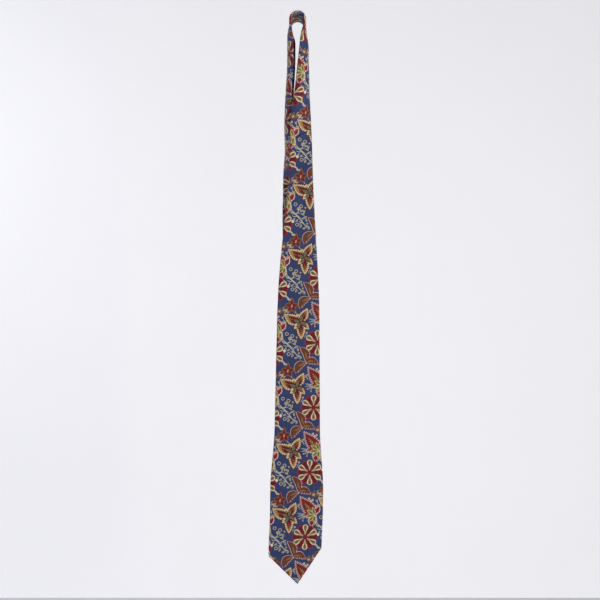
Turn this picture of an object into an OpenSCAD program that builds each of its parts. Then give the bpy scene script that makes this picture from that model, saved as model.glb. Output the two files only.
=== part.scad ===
// Necktie hung doubled over a peg. Millimetres, +Z up, the front faces -Y.
// The origin is the axis of the peg that the neck band hangs over.
// A place on the tie is given by a frame [centre, across, outward, curl]:
// across runs over the width, outward points away from the back seam, and
// curl is one over the radius that the band is rolled to across its width.

/* [Neck band] */
// Radius of the band's middle surface over the peg
loop_r = 12.6; // [12:0.1:16]
// Width of the band
neck_w = 38; // [36:0.5:40]
// Depth of the seam between neck band and wide blade
front_seam = 240; // [236:1:250]
// Depth of the seam between neck band and narrow tail
tail_seam = 70; // [60:1:80]

/* [Wide blade] */
// Width where the shoulder ends
shoulder_w = 72; // [68:0.5:76]
// Width along the middle of the blade
body_w = 77.5; // [76:0.5:80]
// Greatest width, above the point
blade_w = 90.5; // [86:0.5:94]
// Depth of the left corner of the point
corner_left = 913; // [905:1:920]
// Depth of the right corner of the point
corner_right = 899; // [895:1:910]
// Depth of the point
blade_tip = 961; // [950:1:970]
// Distance that the point lies to the left of the peg's axis
tip_left = 0.2; // [-2:0.1:3]

/* [Narrow tail] */
// Width above its point
tail_w = 45; // [42:0.5:48]
// Depth of the corners of its point
tail_corner = 462; // [455:1:465]
// Depth of its point
tail_tip = 488; // [484:1:495]

/* [Layers] */
// Thickness of the folded tie
band_t = 3.6; // [3.4:0.1:3.8]
// Thickness of the silk with its turned edges
silk_t = 0.5; // [0.4:0.05:0.6]
// Thickness of the wool interlining
wool_t = 1.4; // [1.2:0.1:1.5]
// Thickness of the tipping that lines each point
tipping_t = 0.4; // [0.3:0.05:0.5]
// Width of the silk turned in along each point
hem_w = 5; // [4:0.5:6]

/* [Keeper and labels] */
// Depth of the keeper loop's middle
keeper_z = 746; // [720:1:760]
// Length of the keeper strip from end to end
keeper_l = 56; // [50:1:60]
// Height of the keeper strip
keeper_h = 14; // [12:0.5:16]
// Room between the keeper and the blade for the tail
keeper_room = 5.4; // [5.2:0.1:6]
// Width and height of the maker's label
maker_label_size = [46, 24]; // [20:1:50]
// Depth of the maker's label's middle
maker_label_z = 700; // [690:1:705]
// Width and length of the care label
care_label_size = [17, 34]; // [15:1:40]
// Depth of the care label's sewn edge
care_label_z = 610; // [560:1:620]

/* [Stitching] */
// Pitch of the slip stitches in the back seam
stitch_pitch = 12; // [10:1:15]
// Length of a slip stitch
stitch_l = 2.6; // [2:0.1:3]
// Thickness of the thread
thread_t = 0.35; // [0.3:0.05:0.5]

/* [Hidden] */
half_t = band_t / 2;
joint_gap = 0.3;        // clearance between pieces on two sides of a joint
surface_gap = 0.15;     // stitches stand this far off the silk
slit = 0.25;            // half of the slit in the back seam
front_back_y = -7;      // middle of the wide blade, front to back
front_bar_z = -838;     // bar tack of the wide blade
tail_bar_z = -405;      // bar tack of the tail
wool_low = -0.3;        // the wool lies against the face of the tie
tipping_low = -0.9;
edge_room = 1.6;        // inner layers stop this far inside the edge
SILK = "#3b4a7a";
WOOL = "#d9d2c0";
TIPPING = "#27305a";
THREAD = "#2b335f";
LABEL = "#14182c";
PAPER = "#f1f0ea";

function clamp01(x) = max(0, min(1, x));
function ease(x) = let (c = clamp01(x)) c * c * (3 - 2 * c);
function span(z, from, to) = (z - from) / (to - from);

// The wide limb: it comes off the peg edge on, curls, and turns to face forward.
function front_x(z) = loop_r - 6.8 * ease(span(z, 0, -200))
  + 5 * ease(span(z, 0, -45)) * (1 - ease(span(z, -95, -190)))
  - 4.2 * ease(span(z, -230, -460)) - 0.0094 * max(0, -460 - z)
  - 1.9 * ease(span(z, -830, -910));
function front_y(z) = front_back_y * ease(span(z, 0, -170));
function front_turn(z) = 90 * (1 - pow(1 - clamp01(span(z, -4, -230)), 1.15));
function front_w(z) = neck_w
  + (shoulder_w - neck_w) * ease(span(z, -205, -510))
  + (body_w - shoulder_w) * clamp01(span(z, -490, -690))
  + (blade_w - body_w) * ease(span(z, -690, -800));
function front_curl(z) = ease(span(z, 0, -40)) * (1 - ease(span(z, -95, -215))) / 17;
function front_frame(z) = let (a = front_turn(z))
  [[front_x(z), front_y(z), z], [sin(a), cos(a), 0], [cos(a), -sin(a), 0],
   front_curl(z)];

// The narrow limb turns the other way and ends up behind the wide one.
function tail_x(z) = -loop_r - 3.2 * ease(span(z, 0, -25))
  - 5.5 * ease(span(z, -50, -170)) + 15.7 * ease(span(z, -170, -310))
  + 3.1 * ease(span(z, -300, -430));
function tail_y(z) = 12 * ease(span(z, 0, -190)) - 9.5 * ease(span(z, -215, -380));
function tail_turn(z) = -7 * ease(span(z, -4, -24))
  + 97 * pow(clamp01(span(z, -110, -320)), 1.4);
function tail_curl(z) = ease(span(z, 0, -30)) * (1 - ease(span(z, -150, -290))) / 15.2;
function tail_width(z) = neck_w + (tail_w - neck_w) * ease(span(z, -200, -430));
function tail_frame(z) = let (a = tail_turn(z))
  [[tail_x(z), tail_y(z), z], [-sin(a), cos(a), 0], [-cos(a), -sin(a), 0],
   tail_curl(z)];

// The arch over the peg, from 0 on the wide side to 180 on the narrow side.
function arch_frame(a) =
  [[loop_r * cos(a), 0, loop_r * sin(a)], [0, 1, 0], [cos(a), 0, sin(a)], 0];

// The point u across and t outward of a frame, rolled round with its curl.
function on(frame, u, t) = let (k = frame[3])
  k < 0.0001 ? frame[0] + u * frame[1] + t * frame[2]
  : let (a = u * k * 180 / PI, r = 1 / k + t)
    frame[0] + r * sin(a) * frame[1] + (r * cos(a) - 1 / k) * frame[2];

// Moves a shape drawn in a frame's own axes onto the tie.
module place(frame) {
  c = frame[0];
  u = frame[1];
  t = frame[2];
  s = cross(u, t);
  multmatrix([[u.x, t.x, s.x, c.x], [u.y, t.y, s.y, c.y],
              [u.z, t.z, s.z, c.z], [0, 0, 0, 1]]) children();
}

// Joins rings of points into one closed solid. A ring runs along one side of a
// strip and back along the other, so each end closes with a row of triangles.
// Both sides are split along the same diagonals, so a twisted wall stays even.
module sweep(rings) {
  n = len(rings[0]);
  last = (len(rings) - 1) * n;
  sides = [for (k = [0 : len(rings) - 2], i = [0 : n - 1])
    let (a = k * n + i, b = k * n + (i + 1) % n)
    each i < n / 2 ? [[a, b, b + n], [a, b + n, a + n]]
                   : [[a, b, a + n], [b, b + n, a + n]]];
  start = [for (i = [0 : n / 2 - 2])
    each [[i + 1, i, n - 1 - i], [i + 1, n - 1 - i, n - 2 - i]]];
  end = [for (f = start) [last + f[2], last + f[1], last + f[0]]];
  polyhedron(points = [for (r = rings) each r], faces = concat(sides, start, end));
}

// Cross-section of the folded silk: a flat tube that is slit along its back.
// Each flat run has a few points along it, so that it can curl.
runs = 5;
function silk_line(c, gap, r) = concat(
  [for (i = [0 : runs - 1]) [gap + (c - gap) * i / runs, -r]],
  [for (a = [-90 : 45 : 90]) [c + r * cos(a), r * sin(a)]],
  [for (i = [runs - 1 : -1 : 1 - runs]) [c * i / runs, r]],
  [for (a = [90 : 45 : 270]) [r * cos(a) - c, r * sin(a)]],
  [for (i = [runs - 1 : -1 : 0]) [-gap - (c - gap) * i / runs, -r]]);
function silk_section(half_w, gap) = let (c = half_w - half_t)
  concat(silk_line(c, gap, half_t), reversed(silk_line(c, gap, half_t - silk_t)));
function slab_section(half_w, low, high) = concat(
  [for (i = [runs : -1 : -runs]) [half_w * i / runs, high]],
  [for (i = [-runs : runs]) [half_w * i / runs, low]]);
function ring(frame, section) = [for (p = section) on(frame, p[0], p[1])];

function without_ends(list) = [for (i = [1 : len(list) - 2]) list[i]];
function reversed(list) = [for (i = [len(list) - 1 : -1 : 0]) list[i]];

// ---- neck band ----
// Each station is [frame, half width].
neck_stations = concat(
  [for (z = [-front_seam + joint_gap / 2 : 8 : -4]) [front_frame(z), front_w(z) / 2]],
  [for (a = [0 : 15 : 180]) [arch_frame(a), neck_w / 2]],
  [for (z = [-8 : -8 : -tail_seam + 4]) [tail_frame(z), neck_w / 2]],
  [[tail_frame(-tail_seam + joint_gap / 2), neck_w / 2]]);

module neck_shell() {
  color(SILK) sweep([for (s = neck_stations) ring(s[0], silk_section(s[1], slit))]);
}

module neck_interlining() {
  color(WOOL) sweep([for (s = without_ends(neck_stations))
    ring(s[0], slab_section(s[1] - edge_room, wool_low, wool_low + wool_t))]);
}

// A slip stitch is straight, so it stands a little further off the curled silk.
module slip_stitch(frame) {
  place(frame)
    translate([-thread_t, -half_t - 2 * surface_gap - thread_t, -stitch_l / 2])
      cube([2 * thread_t, thread_t, stitch_l]);
}

module neck_slip_stitch() {
  color(THREAD) {
    for (z = [-front_seam + 8 : stitch_pitch : -4]) slip_stitch(front_frame(z));
    for (a = [22.5 : 45 : 157.5]) slip_stitch(arch_frame(a));
    for (z = [-6 : -stitch_pitch : -tail_seam + 8]) slip_stitch(tail_frame(z));
  }
}

// Seam allowances of the joins, pressed flat between wool and back fold.
module seam_allowance(frames) {
  low = wool_low - 0.65;
  color(SILK) sweep([for (f = frames)
    ring(f, slab_section(neck_w / 2 - 3, low, low + 0.4))]);
}

module front_join_seam() {
  seam_allowance([for (z = [5 - 3, 5, 5 + 3]) front_frame(z - front_seam)]);
}

module tail_join_seam() {
  seam_allowance([for (z = [5 + 3, 5, 5 - 3]) tail_frame(z - tail_seam)]);
}

// ---- wide blade ----
// Slopes of the two edges of the point.
function tip_x() = -tip_left;
function edge_x(side, z) = front_x(z) + side * front_w(z) / 2;
function corner_z(side) = side > 0 ? -corner_right : -corner_left;
function tip_slope(side) =
  atan2(corner_z(side) + blade_tip, abs(edge_x(side, corner_z(side)) - tip_x()));
function inset_corner_z(side, inset) = let (a = tip_slope(side))
  corner_z(side) + inset * (1 / cos(a) - tan(a));
function inset_tip(inset) = let (l = tip_slope(-1), r = tip_slope(1),
    dx = inset * (1 / cos(l) - 1 / cos(r)) / (tan(r) + tan(l)))
  [tip_x() + dx, -blade_tip + dx * tan(r) + inset / cos(r)];

// One side of the blade's outline, from the top down to the corner.
function blade_side(side, top, inset) = let (low = inset_corner_z(side, inset))
  concat([for (z = [top : -20 : low + 8]) [edge_x(side, z) - side * inset, z]],
         [[edge_x(side, low) - side * inset, low]]);
function blade_outline(top, inset) =
  concat(blade_side(1, top, inset), [inset_tip(inset)],
         reversed(blade_side(-1, top, inset)));

// A flat layer of the blade between two levels, counted towards the front.
module blade_layer(low, high) {
  translate([0, front_back_y, 0]) rotate([90, 0, 0])
    translate([0, 0, low]) linear_extrude(high - low) children();
}

// The opening between the two back flaps: a slit down to the bar tack, then a kite.
function flap_opening(top) = let (
    levels = concat([for (z = [top : -40 : front_bar_z + 15]) z], [front_bar_z]))
  concat([for (z = levels) [front_x(z) + slit, z]],
         [[edge_x(1, -corner_right) - hem_w, inset_corner_z(1, hem_w)]],
         [inset_tip(hem_w)],
         [[edge_x(-1, -corner_left) + hem_w, inset_corner_z(-1, hem_w)]],
         [for (z = reversed(levels)) [front_x(z) - slit, z]]);

module front_blade_shell() {
  top = -front_seam - joint_gap / 2;
  inner = half_t - silk_t;
  color(SILK) difference() {
    blade_layer(-half_t, half_t) polygon(blade_outline(top, 0));
    blade_layer(-inner, inner) polygon(blade_outline(top + 1, silk_t));
    blade_layer(-half_t - 1, 0) polygon(flap_opening(top + 1));
  }
}

module front_interlining() {
  color(WOOL) blade_layer(wool_low, wool_low + wool_t)
    polygon(blade_outline(-front_seam - 2, edge_room));
}

module front_tipping() {
  color(TIPPING) blade_layer(tipping_low, tipping_low + tipping_t)
    polygon(blade_outline(-795, edge_room));
}

// The slip stitches, left out where the maker's label and the care label are sewn on.
module front_slip_stitch() {
  color(THREAD) for (z = [-front_seam - 8 : -stitch_pitch : front_bar_z + 6])
    if (abs(z + maker_label_z) > maker_label_size.y / 2 + 3 && abs(z + care_label_z) > 5)
      slip_stitch(front_frame(z));
}

// A close bar of thread across the slit.
module bar_tack(frame) {
  place(frame) translate([-6, -half_t - surface_gap - 0.6, -1.2])
    cube([12, 0.6, 2.4]);
}

module front_bar_tack() {
  color(THREAD) bar_tack(front_frame(front_bar_z + 2));
}

// Hem stitches along a line, each one lying across it.
module hem_row(from, to, pitch) {
  length = norm(to - from);
  count = floor(length / pitch);
  turn = atan2(to[1] - from[1], to[0] - from[0]);
  for (i = [1 : count - 1]) let (p = from + (to - from) * i / count)
    translate([p[0], 0, p[1]]) rotate([0, -turn, 0])
      translate([-thread_t, 0, -1]) cube([2 * thread_t, thread_t, 2]);
}

module front_tipping_stitches() {
  row_inset = hem_w / 2;
  color(THREAD) translate([0, front_back_y + half_t + surface_gap, 0])
    for (side = [-1, 1]) {
      corner = [edge_x(side, corner_z(side)) - side * row_inset,
                inset_corner_z(side, row_inset)];
      hem_row(corner, inset_tip(row_inset), 8);
    }
}

// ---- keeper loop and labels on the back of the wide blade ----
back_y = front_back_y + half_t;

module keeper_loop() {
  strip_t = 1.2;
  tab = 8;
  rise = 12;
  inner = [for (x = [-keeper_l / 2 : keeper_l / 28 : keeper_l / 2 + 0.01])
    [x, keeper_room * ease((keeper_l / 2 - abs(x) - tab) / rise)]];
  outer = [for (p = reversed(inner)) [p[0], p[1] + strip_t]];
  color(SILK) translate([front_x(-keeper_z), back_y, -keeper_z - keeper_h / 2])
    linear_extrude(keeper_h) polygon(concat(inner, outer));
}

module keeper_tacks() {
  color(THREAD) for (side = [-1, 1], level = [-1, 1])
    translate([front_x(-keeper_z) + side * (keeper_l / 2 - 4) - 3,
               back_y + 1.2, -keeper_z + level * (keeper_h / 2 - 2) - 0.6])
      cube([6, thread_t, 1.2]);
}

module maker_label() {
  color(LABEL) translate([front_x(-maker_label_z) - maker_label_size.x / 2, back_y,
                          -maker_label_z - maker_label_size.y / 2])
    cube([maker_label_size.x, 0.4, maker_label_size.y]);
}

module maker_label_stitches() {
  tack = 4;
  color(THREAD) for (sx = [-1, 1], sz = [-1, 1])
    translate([front_x(-maker_label_z) + sx * (maker_label_size.x / 2 - tack) - tack / 2,
               back_y + 0.4, -maker_label_z + sz * (maker_label_size.y / 2 - 2) - 0.4])
      cube([tack, thread_t, 0.8]);
}

care_top = -care_label_z;
care_y = back_y + 2 * surface_gap + thread_t + 0.1;  // clear of the slip stitches

module care_label() {
  color(PAPER) translate([front_x(care_top) - care_label_size.x / 2, care_y,
                          care_top - care_label_size.y])
    cube([care_label_size.x, 0.4, care_label_size.y]);
}

module care_label_stitches() {
  color(THREAD) translate([front_x(care_top) - care_label_size.x / 2 + 1,
                           back_y + surface_gap, care_top + 0.3])
    cube([care_label_size.x - 2, 0.6, 1.2]);
}

// ---- narrow tail ----
function tail_half(z) = z > -tail_corner ? tail_width(z) / 2
  : 2.6 + (tail_w / 2 - 2.6) * (1 - span(z, -tail_corner, -tail_tip));
function tail_gap(z) = let (open = tail_half(z) - hem_w)
  max(slit, min(open, open * span(z, tail_bar_z, -tail_corner + 4)));
tail_levels = concat(
  [for (z = [-tail_seam - joint_gap / 2 : -7 : tail_bar_z + 5]) z],
  [tail_bar_z],
  [for (z = [tail_bar_z - 15 : -15 : -tail_corner + 10]) z],
  [-tail_corner + 4, -tail_corner, -tail_corner - 12, -tail_tip]);

module tail_blade_shell() {
  color(SILK) sweep(reversed([for (z = tail_levels)
    ring(tail_frame(z), silk_section(tail_half(z), tail_gap(z)))]));
}

module tail_layer(levels, low, thickness) {
  sweep(reversed([for (z = levels)
    ring(tail_frame(z), slab_section(tail_half(z) - edge_room, low, low + thickness))]));
}

module tail_interlining() {
  color(WOOL) tail_layer(without_ends(tail_levels), wool_low, wool_t);
}

module tail_tipping() {
  color(TIPPING) tail_layer([for (z = without_ends(tail_levels)) if (z < -385) z],
                            tipping_low, tipping_t);
}

module tail_slip_stitch() {
  color(THREAD) for (z = [-tail_seam - 8 : -stitch_pitch : tail_bar_z + 6])
    slip_stitch(tail_frame(z));
}

module tail_bar_tack() {
  color(THREAD) bar_tack(tail_frame(tail_bar_z + 2));
}

module tail_tipping_stitches() {
  row_inset = hem_w / 2;
  color(THREAD)
    translate([tail_x(-tail_tip), tail_y(-tail_tip) + half_t + surface_gap, 0])
      for (side = [-1, 1])
        hem_row([side * (tail_w / 2 - row_inset - 1), -tail_corner - 1],
                [side * 3, -tail_tip + 6], 7);
}

neck_shell();
neck_interlining();
neck_slip_stitch();
front_join_seam();
tail_join_seam();
front_blade_shell();
front_interlining();
front_tipping();
front_slip_stitch();
front_bar_tack();
front_tipping_stitches();
keeper_loop();
keeper_tacks();
maker_label();
maker_label_stitches();
care_label();
care_label_stitches();
tail_blade_shell();
tail_interlining();
tail_tipping();
tail_slip_stitch();
tail_bar_tack();
tail_tipping_stitches();
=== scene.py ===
import math

import bmesh
import bpy
from mathutils import Euler, Matrix, Vector, noise


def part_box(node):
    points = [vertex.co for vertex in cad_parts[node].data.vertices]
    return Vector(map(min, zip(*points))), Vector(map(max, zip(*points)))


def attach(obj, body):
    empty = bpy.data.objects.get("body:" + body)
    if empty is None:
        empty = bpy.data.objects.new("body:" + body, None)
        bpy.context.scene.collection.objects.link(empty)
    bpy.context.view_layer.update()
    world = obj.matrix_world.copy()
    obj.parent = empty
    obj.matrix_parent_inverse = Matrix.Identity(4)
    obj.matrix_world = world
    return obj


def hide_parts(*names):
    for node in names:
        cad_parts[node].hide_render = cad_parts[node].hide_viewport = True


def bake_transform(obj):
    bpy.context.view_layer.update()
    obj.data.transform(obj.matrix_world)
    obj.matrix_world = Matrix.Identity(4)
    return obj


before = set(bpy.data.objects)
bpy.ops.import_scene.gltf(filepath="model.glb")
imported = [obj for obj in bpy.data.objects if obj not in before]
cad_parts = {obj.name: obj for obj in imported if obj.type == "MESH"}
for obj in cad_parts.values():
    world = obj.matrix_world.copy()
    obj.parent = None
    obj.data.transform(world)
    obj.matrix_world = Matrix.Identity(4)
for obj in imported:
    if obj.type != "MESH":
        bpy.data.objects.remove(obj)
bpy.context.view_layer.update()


# ---- Studio ----
# A pale wall and floor, painted matt and kept well clear of the tie, so that it
# can be seen from all sides. A broad soft lamp stands to the right of the viewer.
CAMERA_DISTANCE = 1.0  # from the camera to the face of the blade, in metres
FRAME_WIDTH = 1.0236  # what the camera takes in at that distance
FRAME_CENTRE = (0.0041, -0.4755)
BLADE_FACE_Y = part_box("front_blade_shell")[0].y


def linear(hex_colour):
    """An sRGB hex value as a linear colour with alpha."""
    parts = [int(hex_colour[i : i + 2], 16) / 255 for i in (1, 3, 5)]
    lin = [p / 12.92 if p <= 0.04045 else ((p + 0.055) / 1.055) ** 2.4 for p in parts]
    return (*lin, 1.0)


def add(tree, kind, inputs=None, **settings):
    """Adds one node with its settings, values and links, and returns its outputs."""
    node = tree.nodes.new("ShaderNode" + kind)
    for name, value in settings.items():
        setattr(node, name, value)
    for key, value in (inputs or {}).items():
        if isinstance(value, bpy.types.NodeSocket):
            tree.links.new(value, node.inputs[key])
        else:
            node.inputs[key].default_value = value
    return node.outputs


def new_material(name):
    material = bpy.data.materials.new(name)
    material.use_nodes = True
    material.node_tree.nodes.clear()
    return material, material.node_tree


def finish_surface(tree, inputs):
    shader = add(tree, "BsdfPrincipled", inputs)
    add(tree, "OutputMaterial", {"Surface": shader[0]})


def plane(name, size, turn, place):
    bm = bmesh.new()
    bmesh.ops.create_grid(bm, x_segments=1, y_segments=1, size=size / 2)
    bmesh.ops.rotate(bm, matrix=Euler(turn).to_matrix(), verts=bm.verts)
    bmesh.ops.translate(bm, vec=place, verts=bm.verts)
    mesh = bpy.data.meshes.new(name)
    bm.to_mesh(mesh)
    bm.free()
    obj = bpy.data.objects.new(name, mesh)
    bpy.context.scene.collection.objects.link(obj)
    return obj


wall_paint, tree = new_material("matt_wall_paint")
mottle = add(tree, "TexNoise", {"Vector": add(tree, "TexCoord")["Object"], "Scale": 3.0})
shade = add(tree, "ValToRGB", {"Fac": mottle["Fac"]})
ramp = tree.nodes[-1].color_ramp
ramp.elements[0].color = linear("#eeeef0")
ramp.elements[1].color = linear("#f3f3f6")
finish_surface(
    tree,
    {
        "Base Color": shade[0],
        "Roughness": 0.9,
        "Emission Color": linear("#f0f1f6"),
        "Emission Strength": 0.46,
    },
)
floor_paint, tree = new_material("matt_floor_paint")
grain = add(tree, "TexNoise", {"Vector": add(tree, "TexCoord")["Object"], "Scale": 9.0})
shade = add(
    tree,
    "Mix",
    {0: grain[0], 6: linear("#dedee0"), 7: linear("#e6e6ea")},
    data_type="RGBA",
)
finish_surface(tree, {"Base Color": shade[2], "Roughness": 0.8})
wall = plane("wall", 7.0, (math.radians(90), 0, 0), (0, 1.5, 0))
floor = plane("floor", 7.0, (0, 0, 0), (0, 0, -1.75))
wall.data.materials.append(wall_paint)
floor.data.materials.append(floor_paint)

world = bpy.data.worlds.new("studio_air")
world.use_nodes = True
world.node_tree.nodes["Background"].inputs["Color"].default_value = linear("#d3d5da")
world.node_tree.nodes["Background"].inputs["Strength"].default_value = 0.38
bpy.context.scene.world = world
bpy.context.scene.view_settings.view_transform = "Standard"


def lamp(name, place, size, watts, colour):
    data = bpy.data.lights.new(name, "AREA")
    data.size = size
    data.energy = watts
    data.color = linear(colour)[:3]
    obj = bpy.data.objects.new(name, data)
    obj.location = place
    aim = Vector((0, 0, FRAME_CENTRE[1])) - Vector(place)
    obj.rotation_euler = aim.to_track_quat("-Z", "Y").to_euler()
    obj.visible_camera = False
    bpy.context.scene.collection.objects.link(obj)


lamp("window_lamp", (1.15, -1.45, -0.1), 0.8, 20.0, "#fff6ea")
lamp("back_lamp", (-2.3, 0.5, 0.3), 1.2, 14.0, "#f4f6ff")

camera_data = bpy.data.cameras.new("camera")
camera_data.lens = camera_data.sensor_width * CAMERA_DISTANCE / FRAME_WIDTH
camera = bpy.data.objects.new("camera", camera_data)
camera.location = (FRAME_CENTRE[0], BLADE_FACE_Y - CAMERA_DISTANCE, FRAME_CENTRE[1])
camera.rotation_euler = (math.radians(90), 0, 0)
bpy.context.scene.collection.objects.link(camera)
bpy.context.scene.camera = camera


# ---- Course of the tie ----
# The tie is one long folded ribbon. A place on it is told by how far it lies along
# the tie from the peg, how far across, and how far out from the middle of the cloth.
# Lengths are in millimetres here, and the front limb runs down from zero.
MM = 0.001
LOOP_R = 12.6  # radius of the neck band over the peg
NECK_W = 38.0
ARCH = math.pi * LOOP_R  # length of cloth over the peg
HALF_T = 1.8  # half of the folded tie's thickness
CORNERS = {1: -899.0, -1: -913.0}  # right and left corner of the wide point
BLADE_TIP = (-0.2, -961.0)
TAIL_CORNER, TAIL_TIP = -462.0, -488.0
TAIL_W = 45.0


def ease(x):
    x = max(0.0, min(1.0, x))
    return x * x * (3 - 2 * x)


def span(z, start, end):
    return (z - start) / (end - start)


def front_middle(z):
    return (
        LOOP_R
        - 6.8 * ease(span(z, 0, -200))
        + 5.0 * ease(span(z, 0, -45)) * (1 - ease(span(z, -95, -190)))
        - 4.2 * ease(span(z, -230, -460))
        - 0.0094 * max(0.0, -460 - z)
        - 1.9 * ease(span(z, -830, -910))
    )


def front_width(z):
    shoulder, body, blade = 72.0, 77.5, 90.5
    return (
        NECK_W
        + (shoulder - NECK_W) * ease(span(z, -205, -510))
        + (body - shoulder) * max(0.0, min(1.0, span(z, -490, -690)))
        + (blade - body) * ease(span(z, -690, -800))
    )


def front_edge(side, z):
    """The blade's outline, with the two straight sides of its point."""
    corner = CORNERS[side]
    if z >= corner:
        return front_middle(z) + side * front_width(z) / 2
    top = front_middle(corner) + side * front_width(corner) / 2
    return top + (BLADE_TIP[0] - top) * span(z, corner, BLADE_TIP[1])


def tail_half_width(z):
    if z > TAIL_CORNER:
        return (NECK_W + (TAIL_W - NECK_W) * ease(span(z, -200, -430))) / 2
    return max(0.4, TAIL_W / 2 * (1 - span(z, TAIL_CORNER, TAIL_TIP)))


def place_at(s):
    """Middle point, direction across and direction outwards at a place along the tie."""
    if s < 0:
        turn = math.radians(90 * (1 - (1 - max(0, min(1, span(s, -4, -230)))) ** 1.15))
        middle = Vector((front_middle(s), -7 * ease(span(s, 0, -170)), s))
        across = Vector((math.sin(turn), math.cos(turn), 0))
        outward = Vector((math.cos(turn), -math.sin(turn), 0))
    elif s <= ARCH:
        angle = s / LOOP_R
        outward = Vector((math.cos(angle), 0, math.sin(angle)))
        middle = LOOP_R * outward
        across = Vector((0, 1, 0))
    else:
        z = ARCH - s
        lean = -7 * ease(span(z, -4, -24))
        turn = math.radians(lean + 97 * max(0, min(1, span(z, -110, -320))) ** 1.4)
        x = -LOOP_R - 3.2 * ease(span(z, 0, -25)) - 5.5 * ease(span(z, -50, -170))
        x += 15.7 * ease(span(z, -170, -310)) + 3.1 * ease(span(z, -300, -430))
        y = 12 * ease(span(z, 0, -190)) - 9.5 * ease(span(z, -215, -380))
        middle = Vector((x, y, z))
        across = Vector((-math.sin(turn), math.cos(turn), 0))
        outward = Vector((-math.cos(turn), -math.sin(turn), 0))
    return middle, across, outward


def curl(s):
    """How far the band rolls round across its width, as one over a radius."""
    if s < 0:
        return ease(span(s, 0, -40)) * (1 - ease(span(s, -95, -215))) / 17
    z = ARCH - s
    return ease(span(z, 0, -30)) * (1 - ease(span(z, -150, -290))) / 15.2


def half_width(s):
    if s < 0:
        return (front_edge(1, s) - front_edge(-1, s)) / 2
    return NECK_W / 2 if s <= ARCH else tail_half_width(ARCH - s)


def off_middle(s):
    """How far the point of the blade carries the middle of the cloth sideways."""
    if s > CORNERS[1]:
        return 0.0
    return (front_edge(1, s) + front_edge(-1, s)) / 2 - front_middle(s)


def ripple(s, u):
    """The slight unevenness of soft cloth, pressed by hand."""
    broad = noise.noise(Vector((u * 0.011, s * 0.0085, 4.0)))
    fine = noise.noise(Vector((u * 0.035, s * 0.024, 9.0)))
    free = ease(span(s, 30, -60)) + ease(span(s, ARCH + 20, ARCH + 120))
    return (0.75 * broad + 0.18 * fine) * min(1.0, free)


def on_tie(s, u, t):
    middle, across, outward = place_at(s)
    t += ripple(s, u)
    if curl(s) > 0.0001:
        radius = 1 / curl(s)
        angle = u / radius
        u = (radius + t) * math.sin(angle)
        t = (radius + t) * math.cos(angle) - radius
    return (middle + u * across + t * outward) * MM


def ribbon(name, columns, rows, lay):
    """A net of cloth. lay takes a column and a row, from 0 to 1, and gives the
    point in the air and the point on the uncut cloth, which becomes its UV."""
    bm = bmesh.new()
    bmesh.ops.create_grid(bm, x_segments=columns, y_segments=rows, size=0.5)
    flat = {}
    for vertex in bm.verts:
        vertex.co, flat[vertex] = lay(vertex.co.x + 0.5, vertex.co.y + 0.5)
    cut = bm.loops.layers.uv.new("cut")
    for face in bm.faces:
        face.smooth = True
        for loop in face.loops:
            loop[cut].uv = flat[loop.vert] * MM
    mesh = bpy.data.meshes.new(name)
    bm.to_mesh(mesh)
    bm.free()
    obj = bpy.data.objects.new(name, mesh)
    bpy.context.scene.collection.objects.link(obj)
    return obj


def thicken(obj, thickness, offset):
    solid = obj.modifiers.new("thickness", "SOLIDIFY")
    solid.thickness = thickness * MM
    solid.offset = offset
    return obj


def bend_at_front_join(obj):
    """Bakes the piece's placement into its mesh."""
    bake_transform(obj)


def bend_at_tail_join(obj):
    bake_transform(obj)


# ---- Silk panels ----
# Three panels of printed twill silk, cut on the bias, folded round the wool and
# slip stitched down the back. Diagonal seams join them at both ends of the neck band.
SILK_T = 0.3
HEM = 5.5  # silk turned in along each point
FRONT_JOIN, TAIL_JOIN = -192.0, ARCH + 30.0
JOIN_SLOPE = 0.6  # how far the seam climbs for each millimetre across
FRONT_BAR, TAIL_BAR = -838.0, ARCH + 405.0  # where the back flaps part
FLAP_OVER, FLAP_UNDER = 2.5, 5.0
SEAM_REACH, SEAM_DIP = 2.0, 0.09  # the seams sink by this share, this close to them
SKEW_FADE = 90.0  # the slant of a seam dies out over this length


def flap_gap(s, flat_part):
    """Half of the opening between the back flaps, and how far the flaps still lap."""
    if s < 0:
        opened = span(s, FRONT_BAR, CORNERS[1])
    else:
        opened = span(s, TAIL_BAR, ARCH - TAIL_CORNER)
    opened = max(0.0, min(1.0, opened))
    return max(0.0, flat_part - HEM) * opened, 1 - ease(opened * 4)


def folded(p, flat_part, radius, lap):
    """Where a point p millimetres from the middle of the cloth ends up once folded."""
    side = 1 if p >= 0 else -1
    d = abs(p)
    if d <= flat_part:
        crown = 0.12 * (1 - (d / max(flat_part, 0.1)) ** 2)
        return p, radius + crown
    d -= flat_part
    if d < math.pi * radius:
        angle = d / radius
        return side * (flat_part + radius * math.sin(angle)), radius * math.cos(angle)
    u = side * (flat_part - (d - math.pi * radius))
    tuck = 0.55 * lap * ease((u + 7) / 4) if side < 0 else 0.0
    return u, tuck - radius


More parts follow.
